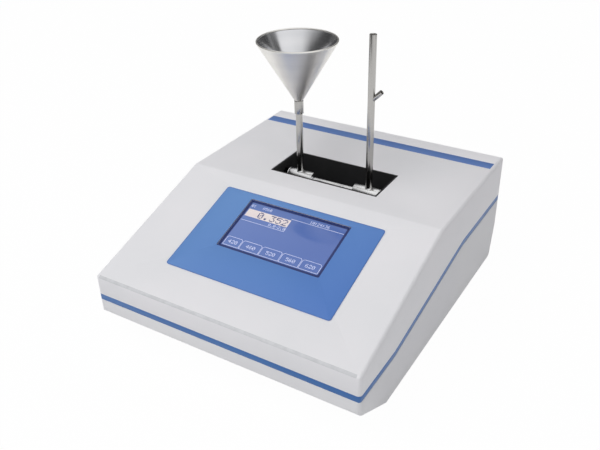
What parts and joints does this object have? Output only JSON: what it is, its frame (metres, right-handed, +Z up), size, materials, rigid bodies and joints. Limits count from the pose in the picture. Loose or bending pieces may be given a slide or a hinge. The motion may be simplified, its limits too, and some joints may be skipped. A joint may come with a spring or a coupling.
{
  "type": "benchtop colorimeter",
  "caption": "Wedge-shaped bench colorimeter with a sloped display panel, an open sample chamber, a steel flow cell, a filling funnel and a power inlet at the rear.",
  "frame": {"origin": "on the bench under the middle of the housing's footprint", "axes": "+X to the right seen from the front, +Y from the front towards the rear, +Z up"},
  "size_m": [0.3, 0.35, 0.287],
  "materials": {
    "cover_paint": "satin light grey powder coat",
    "trim_blue": "moulded blue trim, satin",
    "overlay_film": "printed polycarbonate film, fine matte",
    "bezel_plastic": "dark blue moulded frame",
    "display_window": "flat window over a lit blue display",
    "rubber": "moulded black rubber",
    "stainless": "polished and brushed stainless steel",
    "screw_steel": "zinc plated",
    "sheet_alloy": "bare aluminium",
    "panel_paint": "grey painted sheet",
    "black_anodised": "matte black anodised",
    "black_plastic": "black moulded plastic",
    "circuit_board": "green solder mask",
    "ribbon": "grey flat cable",
    "optical_glass": "clear polished glass",
    "filter_glass": "tinted filter glass",
    "lamp_ceramic": "unglazed ceramic"
  },
  "bodies": {
    "housing": {"upper_cover": "cover_paint", "lower_tub": "cover_paint", "seam_trim": "trim_blue", "rear_strip": "trim_blue", "panel_overlay": "overlay_film", "screen_bezel": "bezel_plastic", "screen_glass": "display_window", "display_module": "sheet_alloy", "display_ribbon": "ribbon", "rubber_feet": "rubber", "foot_screws": "screw_steel", "cover_screws": "screw_steel", "chassis_plate": "sheet_alloy", "small_screws": "screw_steel", "main_board": "circuit_board", "board_standoffs": "screw_steel", "power_cage": "sheet_alloy", "power_board": "circuit_board", "rear_panel": "panel_paint", "rear_panel_screws": "screw_steel", "mains_inlet": "black_plastic", "switch_frame": "black_plastic", "serial_ports": "screw_steel", "usb_port": "screw_steel", "port_board": "circuit_board", "optical_bench": "sheet_alloy", "bench_pillars": "screw_steel", "chamber_liner": "black_plastic", "chamber_windows": "optical_glass", "window_rings": "black_anodised", "cell_holder": "black_plastic", "lamp_stand": "sheet_alloy", "lamp_housing": "sheet_alloy", "lamp_socket": "lamp_ceramic", "halogen_lamp": "optical_glass", "collimator_barrel": "black_anodised", "beam_lenses": "optical_glass", "motor_bracket": "sheet_alloy", "wheel_motor": "screw_steel", "detector_stand": "sheet_alloy", "detector_barrel": "black_anodised", "detector_housing": "sheet_alloy", "photodiode_board": "circuit_board"},
    "flow_cell": {"inlet_head": "stainless", "outlet_head": "stainless", "cell_tube": "stainless", "cell_caps": "stainless", "cell_windows": "optical_glass", "cell_seals": "rubber", "inlet_tube": "stainless", "outlet_tube": "stainless", "side_spout": "stainless"},
    "funnel_body": {"funnel": "stainless", "funnel_socket": "stainless"},
    "wheel": {"filter_wheel": "black_anodised", "colour_filters": "filter_glass", "motor_shaft": "screw_steel"},
    "rocker": {"power_rocker": "black_plastic"},
    "drawer": {"fuse_drawer": "black_plastic"}
  },
  "joints": [
    {"name": "cell_lift", "type": "slide", "parent": "housing", "child": "flow_cell", "axis": [0, 0, 1], "range_m": [0, 0.06]},
    {"name": "funnel_pull", "type": "slide", "parent": "flow_cell", "child": "funnel_body", "axis": [0, 0, 1], "range_m": [0, 0.02]},
    {"name": "wheel_spin", "type": "hinge", "parent": "housing", "child": "wheel", "pos_m": [-0.076, 0.049, 0.088], "axis": [1, 0, 0], "continuous": true},
    {"name": "rocker_tip", "type": "hinge", "parent": "housing", "child": "rocker", "pos_m": [-0.052, 0.161, 0.09], "axis": [-1, 0, 0], "range_deg": [0, 18]},
    {"name": "fuse_slide", "type": "slide", "parent": "housing", "child": "drawer", "axis": [0, 1, 0], "range_m": [0, 0.014]}
  ]
}
